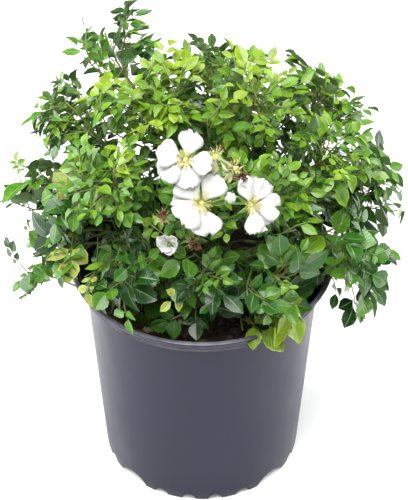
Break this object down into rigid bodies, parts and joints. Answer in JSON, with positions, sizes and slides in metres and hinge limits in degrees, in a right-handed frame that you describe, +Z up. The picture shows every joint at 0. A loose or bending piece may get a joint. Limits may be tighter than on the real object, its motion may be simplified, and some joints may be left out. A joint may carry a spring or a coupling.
{
  "type": "potted groundcover rose",
  "caption": "Low, bushy groundcover rose with white single blossoms and compound leaves, growing in a round moulded nursery pot filled with potting mix.",
  "frame": {"origin": "centre of the pot's flat underside", "axes": "+Z up along the pot's axis; -Y is the front, where the truss of blossom is; +X is the plant's right as seen from the front"},
  "size_m": [0.3418, 0.2946, 0.4219],
  "materials": {
    "pot_plastic": "satin",
    "potting_mix": "rough",
    "bark": "rough",
    "leaf": "satin",
    "petal": "matte"
  },
  "bodies": {
    "root": {"pot": "pot_plastic", "potting_mix": "potting_mix", "stem_base": "bark", "cane_right_low": "bark", "cane_front_right_low": "bark", "cane_front_low": "bark", "cane_front_left_low": "bark", "cane_left_low": "bark", "cane_back_left_low": "bark", "cane_back_low": "bark", "cane_back_right_low": "bark", "cane_right_mid": "bark", "cane_front_right_mid": "bark", "cane_front_right_inner": "bark", "cane_front_mid": "bark", "cane_front_left_inner": "bark", "cane_front_left_mid": "bark", "cane_left_mid": "bark", "cane_back_mid": "bark", "cane_right_high": "bark", "cane_front_right_high": "bark", "cane_front_crest_right": "bark", "cane_front_crest": "bark", "cane_front_left_high": "bark", "cane_left_high": "bark", "cane_top_left_shoot": "bark", "cane_top_back": "bark", "cane_top_left": "bark", "cane_top_right": "bark", "foliage_right_low": "leaf", "foliage_front_right_low": "leaf", "foliage_front_low": "leaf", "foliage_front_left_low": "leaf", "foliage_left_low": "leaf", "foliage_back_left_low": "leaf", "foliage_back_low": "leaf", "foliage_back_right_low": "leaf", "foliage_right_mid": "leaf", "foliage_front_right_mid": "leaf", "foliage_front_right_inner": "leaf", "foliage_front_mid": "leaf", "foliage_front_left_inner": "leaf", "foliage_front_left_mid": "leaf", "foliage_left_mid": "leaf", "foliage_back_mid": "leaf", "foliage_right_high": "leaf", "foliage_front_right_high": "leaf", "foliage_front_crest_right": "leaf", "foliage_front_crest": "leaf", "foliage_front_left_high": "leaf", "foliage_left_high": "leaf", "foliage_top_left_shoot": "leaf", "foliage_top_back": "leaf", "foliage_top_left": "leaf", "foliage_top_right": "leaf", "flower_truss": "petal"}
  },
  "joints": []
}
